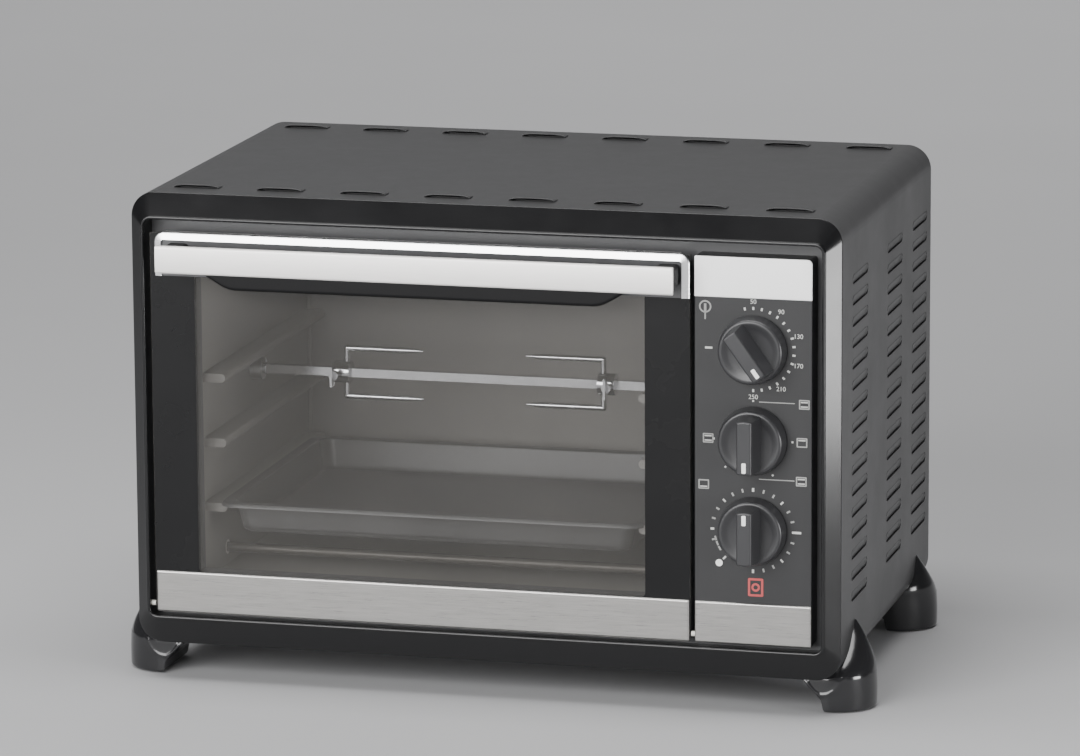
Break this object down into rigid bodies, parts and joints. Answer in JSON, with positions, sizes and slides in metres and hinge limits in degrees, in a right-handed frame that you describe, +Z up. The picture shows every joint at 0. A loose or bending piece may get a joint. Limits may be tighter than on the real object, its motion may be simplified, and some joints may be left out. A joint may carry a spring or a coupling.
{
  "type": "rotisserie oven",
  "caption": "Countertop oven with a louvred housing on claw feet, a drop-down glass door with bar handle, rotary knobs, a rotisserie spit and a sliding tray.",
  "frame": {"origin": "on the floor under the middle of the overall box", "axes": "+X to the right seen from the front, +Y towards the back, +Z up; the door faces -Y"},
  "size_m": [0.5244, 0.342, 0.3373],
  "materials": {
    "housing_paint": "satin dark grey paint on sheet steel",
    "bezel_plastic": "fine satin black moulding",
    "frame_enamel": "dark grey enamel",
    "foot_plastic": "glossy black moulding",
    "pad_rubber": "plain black rubber",
    "cavity_steel": "grey heat-proof coating",
    "element_steel": "dull heated steel",
    "ceramic": "pale ceramic",
    "panel_paint": "dark grey satin paint with light marks",
    "brushed_steel": "brushed along its length",
    "bright_trim": "polished",
    "control_body": "plain moulded body",
    "dark_plastic": "black heat-proof plastic",
    "bulb_copper": "dull copper",
    "plated_steel": "zinc plated",
    "spit_chrome": "chrome plated",
    "door_glass": "tinted clear glass with black printed borders",
    "knob_plastic": "black-grey moulding with a white pointer",
    "tray_enamel": "dark enamel"
  },
  "bodies": {
    "housing": {"housing_wrap": "housing_paint", "front_bezel": "bezel_plastic", "front_frame": "frame_enamel", "rear_panel": "housing_paint", "base_pan": "housing_paint", "foot_front_left": "foot_plastic", "foot_front_right": "foot_plastic", "foot_rear_left": "foot_plastic", "foot_rear_right": "foot_plastic", "foot_pads": "pad_rubber", "cavity_left_wall": "cavity_steel", "cavity_right_wall": "cavity_steel", "cavity_back": "cavity_steel", "cavity_top": "cavity_steel", "cavity_floor": "cavity_steel", "heater_upper_front": "element_steel", "heater_upper_rear": "element_steel", "heater_lower_front": "element_steel", "heater_lower_rear": "element_steel", "heater_bushes": "ceramic", "control_panel": "panel_paint", "nameplate": "brushed_steel", "panel_trim_strip": "brushed_steel", "thermostat": "control_body", "function_switch": "dark_plastic", "timer_unit": "control_body", "thermostat_bulb": "bulb_copper", "spit_motor": "plated_steel", "spit_bearing": "plated_steel", "terminal_block": "ceramic", "cord_gland": "dark_plastic", "hinge_brackets": "plated_steel", "door_side_bushes": "ceramic", "housing_screws": "plated_steel"},
    "door": {"door_glass": "door_glass", "door_inner_frame": "frame_enamel", "door_bottom_strip": "brushed_steel", "door_top_trim": "bright_trim", "handle_backplate": "frame_enamel", "handle_grip": "dark_plastic", "handle_face": "brushed_steel", "handle_screws": "plated_steel", "hinge_pins": "plated_steel"},
    "temperature_control": {"temperature_knob": "knob_plastic", "temperature_shaft": "plated_steel"},
    "function_control": {"function_knob": "knob_plastic", "function_shaft": "plated_steel"},
    "timer_control": {"timer_knob": "knob_plastic", "timer_shaft": "plated_steel"},
    "spit": {"spit_rod": "spit_chrome", "spit_fork_left": "spit_chrome", "spit_fork_right": "spit_chrome", "fork_screws": "spit_chrome", "drive_socket": "spit_chrome"},
    "tray": {"baking_tray": "tray_enamel"}
  },
  "joints": [
    {"name": "door_hinge", "type": "hinge", "parent": "housing", "child": "door", "pos_m": [-0.04315, -0.134, 0.0556], "axis": [1, 0, 0], "range_deg": [0, 90], "stiffness_Nm_per_rad": 0.8, "springref_deg": -20.05},
    {"name": "temperature_turn", "type": "hinge", "parent": "housing", "child": "temperature_control", "pos_m": [0.18675, -0.143, 0.2491], "axis": [0, 1, 0], "range_deg": [-234, 36]},
    {"name": "function_turn", "type": "hinge", "parent": "housing", "child": "function_control", "pos_m": [0.18675, -0.143, 0.1879], "axis": [0, 1, 0], "range_deg": [-270, 0]},
    {"name": "timer_turn", "type": "hinge", "parent": "housing", "child": "timer_control", "pos_m": [0.18675, -0.143, 0.1267], "axis": [0, 1, 0], "range_deg": [-135, 180]},
    {"name": "spit_spin", "type": "hinge", "parent": "housing", "child": "spit", "pos_m": [-0.04315, 0.0007, 0.1906], "axis": [1, 0, 0], "continuous": true},
    {"name": "tray_slide", "type": "slide", "parent": "housing", "child": "tray", "axis": [0, -1, 0], "range_m": [0, 0.102]}
  ],
  "couplings": [
    {"joint": "tray_slide", "follows": "door_hinge", "m_per_rad": 0.064}
  ]
}
